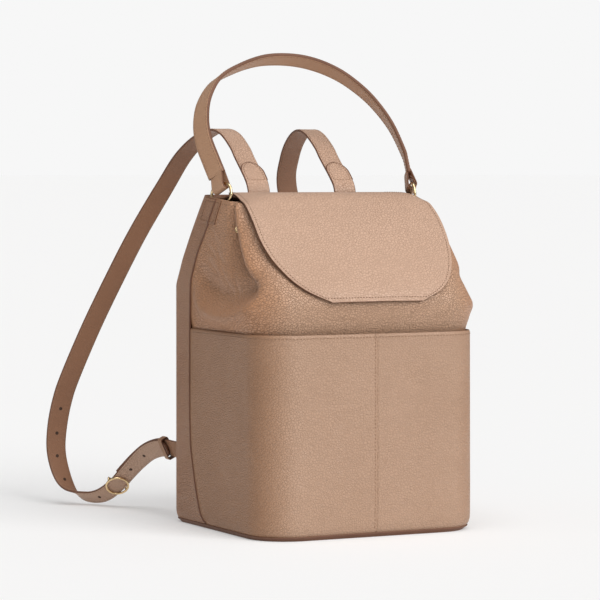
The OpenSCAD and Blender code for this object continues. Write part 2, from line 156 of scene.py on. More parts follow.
def sweep(name, path, hints, widths, thick, materials, shift=0.0, closed=False):
    # a strap: the rounded cut is carried along the path, its width near the hints
    cut = strapProfile()
    ahead, across, normal = frames(path, hints, closed)
    widths = np.broadcast_to(widths, (len(path),))
    pts = (path[:, None] + across[:, None] * (cut[None, :, :1] * widths[:, None, None])
           + normal[:, None] * (cut[None, :, 1:] * thick + shift))
    rows, cols = pts.shape[:2]
    quads = gridFaces(rows, cols, closed, True)[:, ::-1]
    slots = np.tile(np.isin(np.arange(cols), [0, 1, 8, 9, 10, 11, 18, 19]).astype(int),
                    rows if closed else rows - 1)
    if len(materials) > 2:                             # the face towards +normal
        slots[np.isin(np.arange(len(slots)) % cols, [2, 3, 4, 5, 6, 7])] = 2
    faces, slots = quads.tolist(), slots.tolist()
    if not closed:
        faces += [list(range(cols)), list(range(rows * cols - 1, (rows - 1) * cols - 1, -1))]
        slots += [1, 1]
    return addMesh(name, pts.reshape(-1, 3), faces, materials, slots)


def tube(name, path, radius, material, sides=16, closed=True):
    # round wire or cord: path + radius * (across * cos a + normal * sin a)
    hints = np.tile(np.array([[0.31, 0.17, 0.93]]), (len(path), 1))
    ahead, across, normal = frames(path, hints, closed)
    a = np.linspace(0, 2 * np.pi, sides, endpoint=False)
    pts = (path[:, None] + radius * (across[:, None] * np.cos(a)[None, :, None]
                                     + normal[:, None] * np.sin(a)[None, :, None]))
    rows, cols = pts.shape[:2]
    faces = gridFaces(rows, cols, closed, True).tolist()
    if not closed:
        faces += [list(range(cols - 1, -1, -1)), list(range((rows - 1) * cols, rows * cols))]
    return addMesh(name, pts.reshape(-1, 3), faces, [material])


def lathe(name, profile, centre, axis, material, sides=32):
    # profile of (radius, height) turned about axis: centre + radius * ring + height * axis
    axis = unit(np.asarray(axis, float))
    side = unit(np.cross(axis, [0.1, 0.2, 0.97]))
    other = np.cross(axis, side)
    a = np.linspace(0, 2 * np.pi, sides, endpoint=False)
    p = np.asarray(profile, float)
    ring = np.cos(a)[:, None] * side + np.sin(a)[:, None] * other
    pts = np.asarray(centre) + p[:, None, :1] * ring[None] + p[:, None, 1:] * axis
    faces = gridFaces(len(p), sides, False, True).tolist()
    faces += [list(range(sides - 1, -1, -1)), list(range((len(p) - 1) * sides, len(p) * sides))]
    return addMesh(name, pts.reshape(-1, 3), faces, [material])


def stitchShape():
    # one stitch: a small lozenge of thread, 1 long and 1 wide and 1 high
    rings = np.array([[-0.5, 0.0], [-0.34, 0.8], [0.0, 1.0], [0.34, 0.8], [0.5, 0.0]])
    a = np.linspace(0, 2 * np.pi, 6, endpoint=False)
    pts = np.stack([np.repeat(rings[1:4, 0], 6), np.outer(rings[1:4, 1], np.cos(a)).ravel() / 2,
                    np.outer(rings[1:4, 1], np.sin(a)).ravel() / 2], axis=1)
    pts = np.vstack([pts, [[-0.5, 0, 0], [0.5, 0, 0]]])
    quads = gridFaces(3, 6, False, True)[:, ::-1].tolist()
    j = np.arange(6)
    tips = np.stack([np.full(6, 18), j, (j + 1) % 6], axis=1)[:, ::-1].tolist()
    tips += np.stack([12 + j, np.full(6, 19), 12 + (j + 1) % 6], axis=1)[:, ::-1].tolist()
    return pts, quads + tips


def alongRun(at, run, values):
    # a table of points looked up at places along a run
    return np.stack([np.interp(at, run, values[:, k]) for k in range(3)], axis=1)


def stitches(name, path, normals, material, pitch=3.4, size=(2.2, 0.7, 0.45)):
    # equal stitches at an even pitch along a path
    run = np.concatenate([[0], np.cumsum(np.linalg.norm(np.diff(path, axis=0), axis=1))])
    at = np.arange(pitch / 2, run[-1], pitch)
    up = unit(alongRun(at, run, normals))
    ahead = unit(alongRun(at + 0.5, run, path) - alongRun(at - 0.5, run, path))
    side = unit(np.cross(up, ahead))
    shape, faces = stitchShape()
    pts = (alongRun(at, run, path)[:, None] + shape[None, :, :1] * size[0] * ahead[:, None]
           + shape[None, :, 1:2] * size[1] * side[:, None]
           + shape[None, :, 2:] * size[2] * up[:, None])
    quads, tips = (np.array([f for f in faces if len(f) == k]) for k in (4, 3))
    start = np.arange(len(at))[:, None, None] * len(shape)
    allFaces = (start + quads).reshape(-1, 4).tolist() + (start + tips).reshape(-1, 3).tolist()
    return addMesh(name, pts.reshape(-1, 3), allFaces, [material])


def onSurface(surface, a, b, lift):
    # points of surface(a, b), lifted along the normals that face away from the bag's middle
    e = 0.002
    p = surface(a, b)
    n = unit(np.cross(surface(a + e, b) - surface(a - e, b), surface(a, b + e) - surface(a, b - e)))
    n *= np.where(np.sum(n * (p - insideMiddle), axis=1, keepdims=True) < 0, -1, 1)
    return p + n * lift, n


def finishPiece(obj, body, slotName, *nodes):
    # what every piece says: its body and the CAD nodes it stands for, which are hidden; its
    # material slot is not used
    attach(obj, body)
    if nodes:
        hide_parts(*nodes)


def setInputs(tree, node, inputs):
    # numbers and colours are set, sockets are linked
    for key, value in inputs.items():
        if isinstance(value, bpy.types.NodeSocket):
            tree.links.new(value, node.inputs[key])
        else:
            node.inputs[key].default_value = value


def addNode(tree, kind, inputs, **settings):
    # settings come first, because they decide which inputs there are
    node = tree.nodes.new("ShaderNode" + kind)
    for key, value in settings.items():
        setattr(node, key, value)
    setInputs(tree, node, inputs)
    return node


def newGroup(name, inputs, outputs):
    # an empty node group, its incoming sockets and its outgoing ones
    group = bpy.data.node_groups.new(name, "ShaderNodeTree")
    for label, kind, value in inputs:
        s = group.interface.new_socket(label, in_out="INPUT", socket_type="NodeSocket" + kind)
        if value is not None:
            s.default_value = value
    for label, kind in outputs:
        group.interface.new_socket(label, in_out="OUTPUT", socket_type="NodeSocket" + kind)
    given, result = group.nodes.new("NodeGroupInput"), group.nodes.new("NodeGroupOutput")
    return group, given.outputs, result


def newMaterial(name):
    # a material, its tree, its shader and the object's own coordinates
    mat = bpy.data.materials.new(name)
    mat.use_nodes = True
    tree = mat.node_tree
    where = addNode(tree, "TexCoord", {}).outputs["Object"]
    return mat, tree, tree.nodes["Principled BSDF"], where


def pebbleGroup():
    # pebbled grain: rounded cells between fine creases, with small pores over them
    group, given, result = newGroup(
        "pebbleGrain",
        [("Vector", "Vector", None), ("Scale", "Float", 520.0), ("Softness", "Float", 0.35)],
        [("Height", "Float"), ("Crease", "Float")])
    warp = addNode(group, "TexNoise", {"Vector": given["Vector"], "Scale": 180})
    place = addNode(group, "VectorMath", {0: warp.outputs["Color"], 1: (0.0016, 0.0016, 0.0016),
                                          2: given["Vector"]}, operation="MULTIPLY_ADD")
    cells = addNode(group, "TexVoronoi", {"Vector": place.outputs[0], "Scale": given["Scale"]},
                    feature="DISTANCE_TO_EDGE")
    ramp = addNode(group, "MapRange", {"Value": cells.outputs["Distance"],
                                       "From Max": given["Softness"]},
                   interpolation_type="SMOOTHERSTEP")
    pores = addNode(group, "TexNoise", {"Vector": given["Vector"], "Scale": 1700, "Detail": 3})
    height = addNode(group, "Math", {0: pores.outputs["Fac"], 1: 0.25, 2: ramp.outputs["Result"]},
                     operation="MULTIPLY_ADD")
    crease = addNode(group, "Math", {0: 1.0, 1: ramp.outputs["Result"]}, operation="SUBTRACT")
    setInputs(group, result, {"Height": height.outputs[0], "Crease": crease.outputs[0]})
    return group


def toneGroup():
    # two tones in soft clouds, with a darker tone down in the creases
    group, given, result = newGroup(
        "cloudedTone",
        [("Vector", "Vector", None), ("Light", "Color", (1, 1, 1, 1)),
         ("Dark", "Color", (0.5, 0.5, 0.5, 1)), ("Deep", "Color", (0, 0, 0, 1)),
         ("Crease", "Float", 0.0), ("Size", "Float", 14.0)],
        [("Color", "Color"), ("Cloud", "Float")])
    cloud = addNode(group, "TexNoise", {"Vector": given["Vector"], "Scale": given["Size"],
                                        "Detail": 5, "Roughness": 0.6})
    spread = addNode(group, "MapRange", {"Value": cloud.outputs["Fac"], "From Min": 0.3,
                                         "From Max": 0.7})
    tone = addNode(group, "Mix", {"Factor": spread.outputs["Result"], "A": given["Dark"],
                                  "B": given["Light"]}, data_type="RGBA")
    soft = addNode(group, "Math", {0: given["Crease"], 1: 0.2}, operation="MULTIPLY")
    deepen = addNode(group, "Mix", {"Factor": soft.outputs[0], "A": tone.outputs["Result"],
                                    "B": given["Deep"]}, data_type="RGBA")
    setInputs(group, result, {"Color": deepen.outputs["Result"], "Cloud": spread.outputs["Result"]})
    return group


def sideShadeGroup():
    # painted shade: a deeper, warmer tone multiplied onto the bag's two sides, coming in round the
    # front corners
    group, given, result = newGroup(
        "paintedSideShade",
        [("Vector", "Vector", None), ("Color", "Color", (0.5, 0.3, 0.2, 1)),
         ("Tint", "Color", (1, 1, 1, 1))], [("Color", "Color")])
    split = addNode(group, "SeparateXYZ", {0: given["Vector"]})
    away = addNode(group, "Math", {0: split.outputs["X"]}, operation="ABSOLUTE")
    ramp = addNode(group, "MapRange", {"Value": away.outputs[0], "From Min": 0.080,
                                       "From Max": 0.118}, interpolation_type="SMOOTHSTEP")
    mix = addNode(group, "Mix", {"Factor": ramp.outputs["Result"], "A": given["Color"],
                                 "B": given["Tint"]}, data_type="RGBA", blend_type="MULTIPLY")
    setInputs(group, result, {"Color": mix.outputs["Result"]})
    return group


pebbleGrain, cloudedTone, paintedSideShade = pebbleGroup(), toneGroup(), sideShadeGroup()


def leatherMaterial(name, light, dark, deep, roughness=0.5, scale=520.0, bump=0.35, softness=0.35,
                    sheen=0.0, size=14.0, depth=0.5, sides=None, stretch=None):
    # pebbled leather; colours are light, dark and down in the creases, depth is in millimetres;
    # sides, when given, is a tint of painted shade multiplied onto the bag's two sides
    mat, tree, bsdf, where = newMaterial(name)
    grainPlace = where
    if stretch:                                        # creases drawn out along the sides
        grainPlace = addNode(tree, "Mapping", {
            "Vector": where, "Rotation": (np.radians(stretch[1]), 0, 0),
            "Scale": (1, stretch[0], 1.1)}).outputs["Vector"]
    grain = addNode(tree, "Group", {}, node_tree=pebbleGrain)
    setInputs(tree, grain, {"Vector": grainPlace, "Scale": scale, "Softness": softness})
    tone = addNode(tree, "Group", {}, node_tree=cloudedTone)
    setInputs(tree, tone, {"Vector": where, "Crease": grain.outputs["Crease"], "Light": (*light, 1),
                           "Dark": (*dark, 1), "Deep": (*deep, 1), "Size": size})
    colour = tone.outputs["Color"]
    # painted shade: the sides tint deepens and warms the bag's two sides
    if sides:
        sideShadeNode = addNode(tree, "Group", {}, node_tree=paintedSideShade)
        setInputs(tree, sideShadeNode, {"Vector": where, "Color": colour, "Tint": (*sides, 1)})
        colour = sideShadeNode.outputs["Color"]
    rough = addNode(tree, "MapRange", {"Value": tone.outputs["Cloud"], "To Min": roughness + 0.06,
                                       "To Max": roughness - 0.06})
    relief = addNode(tree, "Bump", {"Height": grain.outputs["Height"], "Strength": bump,
                                    "Distance": depth * mm})
    setInputs(tree, bsdf, {"Base Color": colour, "Roughness": rough.outputs["Result"],
                           "Normal": relief.outputs["Normal"], "Sheen Weight": sheen,
                           "Specular IOR Level": 0.45})
    return mat


def weaveMaterial(name, light, dark, scale=900.0):
    # woven cotton: two crossed sets of threads
    mat, tree, bsdf, where = newMaterial(name)
    warp, weft = [addNode(tree, "TexWave", {"Vector": where, "Scale": scale, "Distortion": 0.6},
                          bands_direction=axis).outputs["Fac"] for axis in ("X", "Z")]
    cross = addNode(tree, "Math", {0: warp, 1: weft}, operation="MULTIPLY").outputs[0]
    tone = addNode(tree, "Mix", {"Factor": cross, "A": (*dark, 1), "B": (*light, 1)},
                   data_type="RGBA")
    relief = addNode(tree, "Bump", {"Height": cross, "Strength": 0.4, "Distance": 0.0003})
    setInputs(tree, bsdf, {"Base Color": tone.outputs["Result"], "Roughness": 0.9,
                           "Normal": relief.outputs["Normal"]})
    return mat


def goldMaterial():
    # pale gold plating, unevenly worn
    mat, tree, bsdf, where = newMaterial("paleGold")
    wear = addNode(tree, "TexNoise", {"Vector": where, "Scale": 220, "Detail": 4}).outputs["Fac"]
    tone = addNode(tree, "Mix", {"Factor": wear, "A": (0.78, 0.55, 0.28, 1),
                                 "B": (0.92, 0.72, 0.44, 1)}, data_type="RGBA")
    rough = addNode(tree, "MapRange", {"Value": wear, "To Min": 0.12, "To Max": 0.26})
    setInputs(tree, bsdf, {"Base Color": tone.outputs["Result"],
                           "Roughness": rough.outputs["Result"], "Metallic": 1.0})
    return mat


# its sides tint is painted shade on the pocket's two sides
tan = leatherMaterial("pebbledTan", (0.475, 0.302, 0.206), (0.435, 0.272, 0.181),
                      (0.25, 0.13, 0.075),
                      roughness=0.42, scale=430, bump=0.75, softness=0.16, sides=(0.84, 0.70, 0.56))
# a lighter, paler copy of the tan leather: painted sheen on the flap, the shoulder straps' outer
# faces and their tongues
tanPaintedSheen = leatherMaterial("pebbledTanFlapPaintedSheen", (0.56, 0.365, 0.26), (0.52, 0.335, 0.235),
                          (0.27, 0.14, 0.08), roughness=0.42, scale=380, bump=0.8, softness=0.15)
tanStrap = leatherMaterial("pebbledTanStraps", (0.53, 0.31, 0.188), (0.49, 0.275, 0.16),
                           (0.24, 0.12, 0.07), roughness=0.44, scale=520, bump=0.5, softness=0.2)
# a darker, more saturated copy of the tan leather: painted shade for the back, the side patches and
# the lower straps
tanShadedSides = leatherMaterial("pebbledTanPaintedShade", (0.44, 0.23, 0.13), (0.40, 0.20, 0.11),
                          (0.24, 0.12, 0.07), roughness=0.44, scale=430, bump=0.9, softness=0.15,
                          depth=0.8)
# its sides tint is painted shade on the body's two sides
tanFolds = leatherMaterial("pebbledTanFolds", (0.54, 0.335, 0.222), (0.495, 0.30, 0.192),
                           (0.22, 0.11, 0.06), roughness=0.38, scale=420, bump=0.85, softness=0.14,
                           depth=1.0, sides=(1.0, 0.82, 0.66), stretch=(0.55, 10.0))
edgePaint = leatherMaterial("edgePaint", (0.20, 0.088, 0.047), (0.15, 0.064, 0.034),
                            (0.10, 0.045, 0.025), roughness=0.6, scale=1400, bump=0.12)
# a darker leather for the strap undersides, the bands inside the mouth and the sleeve's edge,
# darkened as painted shade
shadedInnerLeather = leatherMaterial("strapUndersidePaintedShade", (0.32, 0.162, 0.09), (0.28, 0.136, 0.074),
                            (0.18, 0.095, 0.058), roughness=0.5, scale=600, bump=0.3)
suede = leatherMaterial("flapSuede", (0.26, 0.17, 0.115), (0.20, 0.13, 0.085), (0.14, 0.085, 0.055),
                        roughness=0.9, scale=1800, bump=0.2, sheen=0.25)
thread = leatherMaterial("thread", (0.40, 0.235, 0.145), (0.33, 0.185, 0.11), (0.2, 0.105, 0.06),
                         roughness=0.7, scale=2500, bump=0.3, size=300.0)
threadDark = leatherMaterial("threadInShade", (0.27, 0.145, 0.085), (0.22, 0.115, 0.066),
                             (0.14, 0.07, 0.04), roughness=0.8, scale=2500, bump=0.3, size=300.0)
# near-black discs laid on the strap: painted shade standing in for the punched holes
holeShade = leatherMaterial("punchedHolePaintedShade", (0.07, 0.035, 0.022), (0.05, 0.026, 0.016),
                           (0.03, 0.016, 0.01), roughness=0.8, scale=1500, bump=0.1)
cotton = weaveMaterial("liningCotton", (0.58, 0.50, 0.40), (0.40, 0.33, 0.25))
boardCloth = weaveMaterial("boardCloth", (0.30, 0.26, 0.21), (0.22, 0.19, 0.15), 700.0)
gold = goldMaterial()
print("materials ready")

bag = {"wall": 2.2, "flapThick": 2.0, "liningThick": 0.8, "flapAir": 1.2, "cornerRadius": 38.0,
       "pocketHeight": 188.0, "pocketGap": 5.0, "rimSlope": 0.125, "pleatPlace": -6.0,
       "rim": 309.0, "bulge": 1.8, "wrinkle": 1.0}
flapLine = np.array([                                  # y, z and half width, from hinge to edge
    [37, 317, 84], [21, 317.2, 90], [2, 317.2, 94], [-13, 316.6, 96], [-25, 311.5, 97.5],
    [-36, 302, 98.5], [-49, 290, 99], [-62, 275, 98.5], [-75, 260, 95], [-86, 248, 89],
    [-96, 236.5, 80], [-103, 227, 67], [-107, 218, 47]])


def flapNormals():
    # the flap line's direction turned a quarter
    t = unit(np.gradient(flapLine[:, :2], axis=0))
    return np.stack([t[:, 1], -t[:, 0]], axis=1)


def underFlap():
    # (height, y) of the body under the flap: the flap line moved in by its layers and the air
    layers = bag["flapThick"] + bag["liningThick"] + bag["flapAir"]
    return (flapLine[:, :2] - flapNormals() * layers)[:2:-1, ::-1]


# tables of (height, value): y of the front and the rear, half widths, corner sizes and the seam's y
frontTable = np.vstack([[[0, -98.5], [3, -101], [9, -104], [30, -104.5], [190, -104.5],
                         [204, -104.2]], underFlap()])
rearTable = np.array([[0, 95.5], [3, 97.5], [9, 99], [229, 99], [250, 88], [272, 72.5], [313, 39]])
rearHalf = np.array([[0, 111], [3, 113.2], [9, 115], [229, 115], [250, 113.6], [272, 111.4],
                     [313, 109]])
frontHalf = np.array([[0, 111], [3, 113.2], [9, 115], [190, 115], [230, 112], [260, 107.5],
                      [290, 103.5], [313, 100.5]])
frontCorner = np.array([[0, 1], [190, 1.05], [230, 0.9], [260, 0.62], [290, 0.36], [313, 0.24]])
rearCorner = np.array([[0, 11], [229, 12], [313, 7]])
seamTable = np.array([[0, 13], [3, 25], [14, 36], [30, 43], [44, 48], [75, 57], [110, 59],
                      [235, 58], [258, 48], [286, 28.5], [306, 17.5], [320, 10]])


def softLook(z, table, blur=3.0):
    # straight-line table with its corners rounded off
    return sum(np.interp(z + d * blur, table[:, 0], table[:, 1]) * w
               for d, w in ((-1, 0.25), (0, 0.5), (1, 0.25)))


def bodyShape(z, inset, extra):
    # rear and front y, rear and front half width, front and rear corner radius at height z
    yr = softLook(z, rearTable) - inset
    yf = softLook(z, frontTable) + inset + extra
    wr = softLook(z, rearHalf) - inset
    wf = softLook(z, frontHalf) - inset
    rf = np.maximum(bag["cornerRadius"] * softLook(z, frontCorner) - inset, 1.5)
    rr = np.maximum(softLook(z, rearCorner) - inset, 1.5)
    return yr, yf, wr, wf, rf, rr


def seamPlace(z):
    # how far along the side, 0 to 1, the seam lies
    yr, yf, wr, wf, rf, rr = bodyShape(z, 0.0, 0.0)
    return (softLook(z, seamTable, 5.0) - yf - rf) / (yr - rr - yf - rf)


def step01(t):
    # smooth step from 0 to 1
    t = np.clip(t, 0, 1)
    return t * t * (3 - 2 * t)


# tables by height: how deep the fold is, how far its slope runs behind it and in front of it,
# the slit in it and the roll before it; creases are (y, z, slope, length, depth)
fold = {"line": np.array([[222, -66], [240, -53], [250, -47], [261, -38], [272, -30], [285, -21.5],
                          [296, -15], [308, -10.5]]),
        "depth": ([216, 228, 242, 262, 285, 300, 310], [0.0, 4.0, 10.0, 21.0, 20.0, 10.0, 6.0]),
        "behind": ([220, 238, 250, 262, 285, 308], [30.0, 27.0, 24.0, 16.0, 8.0, 3.6]),
        "front": ([220, 250, 285, 308], [12.0, 5.0, 2.2, 1.8]),
        "slit": ([258, 274, 308], [0.0, 8.0, 14.0]), "slitWidth": 2.1,
        "roll": ([225, 250, 290, 310], [1.0, 3.2, 4.0, 2.6]),
        "rollPlace": ([230, 300], [17.0, 10.0]), "rollWidth": ([230, 300], [11.0, 6.0]),
        "creases": ((4, 258, -0.75, 20, 0.9), (12, 246, -0.5, 22, 0.8), (-8, 240, -1.2, 20, 0.9),
                    (22, 262, -0.4, 20, 0.6), (-28, 232, -2.4, 16, 0.8), (16, 274, -1.0, 16, 0.6)),
        "creaseWidth": 2.4, "puff": 6.0, "hollow": 5.5}


def bell(t, width):
    # 1 at t = 0, falling off on both sides over width
    return np.exp(-(t / width) ** 2)


def sideFolds(y, z, amount=1.0):
    # how far the leather stands in (-) or out (+) along the side: a fold that runs forward as it
    # goes down, steep in front and gentle behind, the roll in front of it, and low waves
    off = y - softLook(z, fold["line"], 6.0)
    behind, front = np.interp(z, *fold["behind"]), np.interp(z, *fold["front"])
    slit = np.interp(z, *fold["slit"]) * bell(off, fold["slitWidth"])
    dent = -slit - np.interp(z, *fold["depth"]) * bell(off, np.where(off > 0, behind, front))
    roll = np.interp(z, *fold["roll"]) * bell(off + np.interp(z, *fold["rollPlace"]),
                                              np.interp(z, *fold["rollWidth"]))
    creases = 0
    for y0, z0, slope, span, deepness in fold["creases"]:
        length = np.hypot(1, slope)
        across = ((z - z0) + slope * (y - y0)) / length
        along = ((y - y0) - slope * (z - z0)) / length
        creases = creases - deepness * bell(across, fold["creaseWidth"]) * bell(along, span)
    wave = 0.4 * np.sin(y / 13.0 + z / 29.0) * np.sin(z / 17.0 - y / 31.0) * step01((z - 200) / 20)
    seamKeep = step01((softLook(z, seamTable, 5.0) - y) / 14.0)          # calm along the side seam
    sag = (y + 20.0) / 58.0                                              # puffed low, hollow above
    low = 200.5 + 12.0 * sag ** 2
    puff = fold["puff"] * bell(z - low, 8.5) - fold["hollow"] * bell(z - low - 24, 10.0)
    puff = puff * bell(np.maximum(np.abs(sag) - 0.75, 0), 0.35) * step01((z - 188) / 6)
    return amount * (dent * seamKeep + roll + (bag["wrinkle"] * creases + wave + puff) * seamKeep)


def bodyPoint(s, z, inset=0.0, extra=0.0, folds=1.0, puff=1.0):
    # |s| 0-1 front, 1-2 front corner, 2-3 side, 3-4 rear corner, 4-5 back; its sign is the side
    s, z = np.broadcast_arrays(np.asarray(s, float), np.asarray(z, float))
    yr, yf, wr, wf, rf, rr = bodyShape(z, inset, extra)
    k = np.abs(s)
    a, b = (np.pi / 2 * np.clip(k - start, 0, 1) for start in (1, 3))
    t = np.clip(k - 2, 0, 1)
    part = [k < 1, k < 2, k < 3, k < 4]
    x = np.select(part, [k * (wf - rf), wf - rf + rf * np.sin(a), wf + (wr - wf) * t,
                         wr - rr + rr * np.cos(b)], (5 - k) * (wr - rr))
    y = np.select(part, [yf, yf + rf - rf * np.cos(a), yf + rf + (yr - rr - yf - rf) * t,
                         yr - rr + rr * np.sin(b)], yr)
    x = x + sideFolds(y, z, folds) * step01((k - 1.35) / 0.5) * step01((3.4 - k) / 0.5)
    corner = step01((k - 0.9) / 0.5) * step01((2.75 - k) / 0.5)    # puffed leather over the pocket
    swell = puff * bag["bulge"] * bell(z - 207, 10.0)
    x = x + swell * corner * np.sin(a)
    y = y - swell * (0.35 + 0.65 * corner) * np.cos(a) * (k < 2)
    tilt = bag["rimSlope"] * np.clip((z - 245) / 63, 0, 1)
    return np.stack([x * np.sign(s + 1e-12), y, z + tilt * (y - bag["pleatPlace"])], axis=-1)


def runs(*parts):
    # even steps over each part of (from, to, count); only the last one keeps its end
    last = len(parts) - 1
    return np.concatenate([np.linspace(*part, endpoint=k == last) for k, part in enumerate(parts)])


def bothWays(half):
    # columns from the middle of the front outwards, mirrored to the left
    return np.concatenate([-half[:0:-1], half])


def towardSeam(columns, z):
    # side columns are squeezed so that the last one lies on the seam
    k = np.abs(columns)
    return np.where(k > 2, 2 + (k - 2) * seamPlace(z), k) * np.sign(columns + 1e-12)


def frontBody():
    # the body's shape in front of the seams, held back under the slip pocket
    z = np.concatenate([np.linspace(3.2, 180, 40), np.linspace(181, bag["rim"], 150)])[:, None]
    s = towardSeam(bothWays(runs((0, 1, 26), (1, 2, 18), (2, 3, 70)))[None, :], z)
    inset = np.interp(z, [0, 188, 198, 260], [2.4, 2.4, 0.8, 0.0])
    gap = bag["pocketGap"]
    extra = np.interp(z, [0, 6, 22, 188, 210, 222], [0.4, 0.4, gap, gap, 1.5, 0])
    obj = sheetPiece("front_body", bodyPoint(s, z, inset, extra), [tanFolds, edgePaint],
                     bag["wall"], insideMiddle)
    finishPiece(obj, "bag", "leather", "front_wrap")


def backColumns(z):
    # from the right seam round the back to the left seam
    half = runs((0, 1, 34), (1, 2, 14), (2, 3, 44))
    place = seamPlace(z)
    k = np.where(half < 1, 2 + place + (1 - place) * half, half + 2)
    return np.concatenate([k, -k[:, -2::-1]], axis=1)


def backBody():
    # the body's shape behind the seams, with a padded panel inside a sewn channel
    z = np.concatenate([np.linspace(3.2, 20, 8), np.linspace(24, 220, 40),
                        np.linspace(223, bag["rim"], 60)])[:, None]
    s = backColumns(z)
    pts = bodyPoint(s, z, puff=0.0)
    x, h = pts[..., 0], z + 0 * s
    flat = np.abs(s) > 3.9
    panel = (np.clip((96 - np.abs(x)) / 6, 0, 1) * np.clip((h - 14) / 6, 0, 1)
             * np.clip((222 - h) / 6, 0, 1)) * flat
    channel = bell(np.abs(x) - 99, 2.2) * flat * step01((225 - h) / 10)
    quilt = 0.5 + 0.5 * np.cos(x / 96 * np.pi / 2) * np.sin(np.clip((h - 14) / 208, 0, 1) * np.pi)
    pts[..., 1] += panel * quilt * 2.6 - channel * 1.1
    obj = sheetPiece("back_body", pts, [tanShadedSides, edgePaint], bag["wall"], insideMiddle)
    finishPiece(obj, "bag", "leather", "back_wrap")


pocket = {"edge": 3.2, "seamIn": 0.9, "seamRow": -2.2 / 76.5}


def pocketPoint(s, z):
    # outer slip pocket: the body's outer shape, drawn in along its centre seam, its top edge rolled
    pts = bodyPoint(s, z, folds=0.0, puff=0.0)
    x, top = pts[..., 0], bag["pocketHeight"]
    crown = 0.9 * (np.abs(s) < 1) * np.sin(np.clip(np.abs(s), 0, 1) * np.pi) * np.sin(
        np.clip(z / top, 0, 1) * np.pi)
    pts[..., 1] += pocket["seamIn"] * bell(x, 0.7) - crown
    roll = np.clip((z - top + 2.4) / 2.4, 0, 1) ** 2 * 0.9
    out = unit(np.stack([x * 0.6, pts[..., 1], 0 * x], axis=-1))
    return pts - out * roll[..., None]


def slipPocket():
    # both halves as one sheet, finer at the centre seam, with stitches along the edge and the seam
    rows = np.concatenate([np.linspace(3.2, 176, 46), np.linspace(177, bag["pocketHeight"], 24)])
    columns = bothWays(runs((0, 0.06, 8), (0.06, 1, 24), (1, 2, 22), (2, 3, 40)))
    z = rows[:, None] + 0 * columns[None, :]
    s = towardSeam(columns[None, :], z)
    obj = sheetPiece("slip_pocket", pocketPoint(s, z), [tan, edgePaint], 2.0, insideMiddle)
    finishPiece(obj, "bag", "leather", "pocket_left", "pocket_right")
    edge = np.full(900, bag["pocketHeight"] - pocket["edge"])
    up = np.linspace(8, 187, 500)
    for name, s, z in (
            ("edge", towardSeam(np.clip(np.linspace(-1, 1, 900) * 3, -2.97, 2.97), edge), edge),
            ("seam", np.full_like(up, pocket["seamRow"]), up)):
        p, n = onSurface(pocketPoint, s, z, 0.12)
        finishPiece(stitches(f"pocket_{name}_stitch", p, n, thread), "bag", "leather")


patch = {"front": 8.0, "lean": 9.0, "rear": 17.0, "low": 285.0, "high": 307.5, "proud": 0.9}


def sideSeams():
    # a cord on each seam's line, lifted where it runs over the patch
    z = np.linspace(5, 307.5, 280)
    for side, tag in bothSides:
        p = bodyPoint(side * (2 + seamPlace(z)), z, 0.25, puff=0.0)
        p[:, 0] += side * patch["proud"] * step01((z - patch["low"] + 1) / 2)
        obj = tube(f"side_cord_{tag}", p, 1.15, edgePaint, 12, False)
        finishPiece(obj, "bag", "leather_shadow", f"side_piping_{tag}")


def baseCord():
    # a closed cord round the base
    s = bothWays(np.linspace(0, 5, 240))[:-1]
    p = bodyPoint(s, np.full_like(s, 3.6), 0.1, folds=0.0, puff=0.0)
    finishPiece(tube("base_cord", p, 0.9, edgePaint, 10), "bag", "leather_shadow")


def rimStitching():
    # a row on each side, just under the rim
    for k, (lo, hi) in enumerate(((-2.62, -2.02), (2.02, 2.62))):
        s = np.linspace(lo, hi, 400)
        p, n = onSurface(bodyPoint, s, np.full_like(s, 305.0), 0.12)
        finishPiece(stitches(f"rim_stitch_{k}", p, n, thread), "bag", "leather")


def patchPoint(side):
    # a and b 0-1: from its front edge back past the seam, and from its lower edge up
    def point(a, b):
        z = patch["low"] + (patch["high"] - patch["low"]) * b
        yr, yf, wr, wf, rf, rr = bodyShape(z, 0.0, 0.0)
        back = softLook(z, seamTable, 5.0) + patch["rear"]
        front = patch["front"] + patch["lean"] * (1 - b)
        y = front + (back - front) * a
        s = side * (2 + (y - yf - rf) / (yr - rr - yf - rf))
        p = bodyPoint(s, z, folds=0.5)
        p[..., 0] += side * patch["proud"]
        return p
    return point


def sidePatches():
    # a patch over the top of each seam, with a square of stitches inside its edge
    a, b = np.meshgrid(np.linspace(0, 1, 26), np.linspace(0, 1, 26))
    t = np.linspace(0.001, 0.999, 240)
    one = np.ones_like(t)
    square = [(t * 0.84 + 0.08, one * 0.1), (one * 0.92, t * 0.8 + 0.1),
              (0.92 - t * 0.84, one * 0.9), (one * 0.08, 0.9 - t * 0.8)]
    for side, tag in bothSides:
        surf = patchPoint(side)
        obj = sheetPiece(f"rim_patch_{tag}", surf(a, b), [tanShadedSides, edgePaint], 0.9, insideMiddle)
        finishPiece(obj, "bag", "leather", f"side_patch_{tag}")
        p, n = zip(*[onSurface(surf, u, v, 0.12) for u, v in square])
        finishPiece(stitches(f"patch_stitch_{tag}", np.vstack(p), np.vstack(n), threadDark, 3.0),
                    "bag", "leather")


